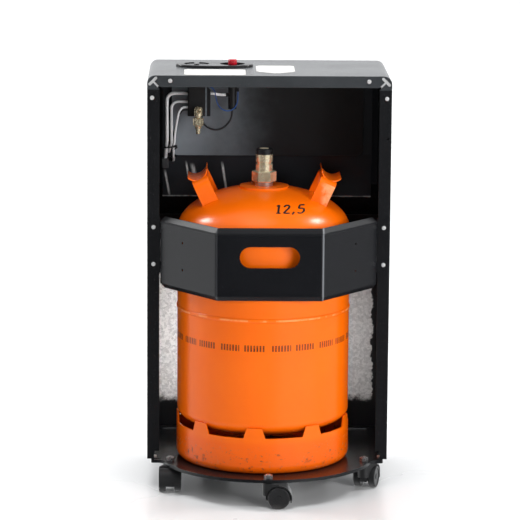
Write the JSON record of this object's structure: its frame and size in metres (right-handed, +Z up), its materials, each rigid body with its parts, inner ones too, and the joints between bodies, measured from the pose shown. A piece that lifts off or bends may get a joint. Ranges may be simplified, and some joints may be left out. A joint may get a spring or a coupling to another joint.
{
  "type": "portable gas cabinet heater",
  "caption": "Wheeled sheet-metal gas heater cabinet, open at the back, with a radiant burner, top controls and a gas bottle held by a hooked guard band.",
  "frame": {"origin": "on the floor, below the middle of the heater's plan", "axes": "+Z up, +Y towards the heater's front with its burner, +X to the right when the open back is seen"},
  "size_m": [0.42, 0.4054, 0.737],
  "materials": {
    "black_coat": "satin black powder coat",
    "zinc_sheet": "galvanised sheet",
    "zinc_fastener": "bright zinc plate",
    "castor_plastic": "moulded black nylon",
    "wheel_plastic": "moulded black nylon, worn treads",
    "axle_steel": "plain steel",
    "ceramic_tile": "fired porous ceramic",
    "bright_sheet": "bright rolled sheet",
    "chrome_wire": "plated wire",
    "brass": "machined brass",
    "bezel_plastic": "moulded black plastic",
    "red_plastic": "red moulded plastic",
    "igniter_plastic": "black moulded plastic",
    "valve_casting": "die-cast alloy, blackened",
    "tube_metal": "drawn tube",
    "white_sleeve": "white braided sleeve",
    "dark_lead": "black insulation",
    "blue_lead": "blue insulation",
    "clip_plastic": "dark moulded plastic",
    "orange_coat": "glossy orange enamel, handled",
    "neck_white": "pale painted ring",
    "seal_rubber": "black moulded seal"
  },
  "bodies": {
    "heater": {"base_plate": "black_coat", "blue_lead": "blue_lead", "burner_frame": "black_coat", "burner_heads": "zinc_sheet", "burner_surround": "black_coat", "cabinet_screws": "zinc_fastener", "cabinet_wrapper": "black_coat", "castor_nuts": "zinc_fastener", "castor_stems": "zinc_fastener", "ceramic_plaques": "ceramic_tile", "control_bezel": "bezel_plastic", "corner_gussets": "zinc_sheet", "earth_sleeve": "white_sleeve", "front_panel": "black_coat", "gas_manifold": "tube_metal", "gas_tube_main": "tube_metal", "gas_tube_pilot": "tube_metal", "gas_valve": "valve_casting", "guard_brackets": "black_coat", "guard_studs": "zinc_fastener", "heat_shield": "zinc_sheet", "hose_nozzle": "brass", "igniter_body": "igniter_plastic", "igniter_nut": "zinc_fastener", "ignition_lead": "dark_lead", "inlet_elbow": "brass", "interrupter_lead": "white_sleeve", "pilot_bracket": "zinc_sheet", "pilot_burner": "brass", "reflector": "bright_sheet", "thermocouple_lead": "dark_lead", "tube_clip": "clip_plastic", "valve_bracket": "black_coat", "wire_guard": "chrome_wire"},
    "castor_1_fork": {"castor_1_hood": "castor_plastic", "castor_1_axle": "axle_steel"},
    "castor_1_pair": {"castor_1_wheels": "wheel_plastic"},
    "castor_2_fork": {"castor_2_hood": "castor_plastic", "castor_2_axle": "axle_steel"},
    "castor_2_pair": {"castor_2_wheels": "wheel_plastic"},
    "castor_3_fork": {"castor_3_hood": "castor_plastic", "castor_3_axle": "axle_steel"},
    "castor_3_pair": {"castor_3_wheels": "wheel_plastic"},
    "castor_4_fork": {"castor_4_hood": "castor_plastic", "castor_4_axle": "axle_steel"},
    "castor_4_pair": {"castor_4_wheels": "wheel_plastic"},
    "castor_5_fork": {"castor_5_hood": "castor_plastic", "castor_5_axle": "axle_steel"},
    "castor_5_pair": {"castor_5_wheels": "wheel_plastic"},
    "spindle": {"valve_spindle": "axle_steel"},
    "knob": {"control_knob": "bezel_plastic"},
    "button": {"igniter_button": "red_plastic"},
    "guard": {"rear_guard": "black_coat"},
    "bottle": {"bottle_body": "orange_coat", "bottle_foot_ring": "orange_coat", "bottle_handle_left": "orange_coat", "bottle_handle_right": "orange_coat", "bottle_neck_ring": "neck_white", "bottle_valve": "brass", "bottle_valve_cap": "seal_rubber"}
  },
  "joints": [
    {"name": "castor_1_swivel", "type": "hinge", "parent": "heater", "child": "castor_1_fork", "pos_m": [0, -0.18325, 0.04], "axis": [0, 0, 1], "continuous": true},
    {"name": "castor_1_roll", "type": "hinge", "parent": "castor_1_fork", "child": "castor_1_pair", "pos_m": [0.018, -0.18325, 0.019], "axis": [0, -1, 0], "continuous": true},
    {"name": "castor_2_swivel", "type": "hinge", "parent": "heater", "child": "castor_2_fork", "pos_m": [0.16929, -0.06026, 0.04], "axis": [0, 0, 1], "continuous": true},
    {"name": "castor_2_roll", "type": "hinge", "parent": "castor_2_fork", "child": "castor_2_pair", "pos_m": [0.17485, -0.04314, 0.019], "axis": [0.9511, -0.309, 0], "continuous": true},
    {"name": "castor_3_swivel", "type": "hinge", "parent": "heater", "child": "castor_3_fork", "pos_m": [0.10463, 0.13875, 0.04], "axis": [0, 0, 1], "continuous": true},
    {"name": "castor_3_roll", "type": "hinge", "parent": "castor_3_fork", "child": "castor_3_pair", "pos_m": [0.09084, 0.15032, 0.019], "axis": [0.6428, 0.766, 0], "continuous": true},
    {"name": "castor_4_swivel", "type": "hinge", "parent": "heater", "child": "castor_4_fork", "pos_m": [-0.10463, 0.13875, 0.04], "axis": [0, 0, 1], "continuous": true},
    {"name": "castor_4_roll", "type": "hinge", "parent": "castor_4_fork", "child": "castor_4_pair", "pos_m": [-0.09084, 0.15032, 0.019], "axis": [0.6428, -0.766, 0], "continuous": true},
    {"name": "castor_5_swivel", "type": "hinge", "parent": "heater", "child": "castor_5_fork", "pos_m": [-0.16929, -0.06026, 0.04], "axis": [0, 0, 1], "continuous": true},
    {"name": "castor_5_roll", "type": "hinge", "parent": "castor_5_fork", "child": "castor_5_pair", "pos_m": [-0.16929, -0.07826, 0.019], "axis": [-1, 0, 0], "continuous": true},
    {"name": "valve_turn", "type": "hinge", "parent": "heater", "child": "spindle", "pos_m": [-0.126, 0.09575, 0.7], "axis": [0, 0, 1], "range_deg": [0, 210]},
    {"name": "knob_push", "type": "slide", "parent": "spindle", "child": "knob", "axis": [0, 0, -1], "range_m": [0, 0.0035], "stiffness_N_per_m": 800, "springref_m": -0.002},
    {"name": "igniter_push", "type": "slide", "parent": "heater", "child": "button", "axis": [0, 0, -1], "range_m": [0, 0.006], "stiffness_N_per_m": 1000, "springref_m": -0.002},
    {"name": "guard_lift", "type": "slide", "parent": "heater", "child": "guard", "axis": [0, 0, 1], "range_m": [0, 0.04]},
    {"name": "bottle_lift", "type": "slide", "parent": "heater", "child": "bottle", "axis": [0, 0, 1], "range_m": [0, 0.04]}
  ]
}
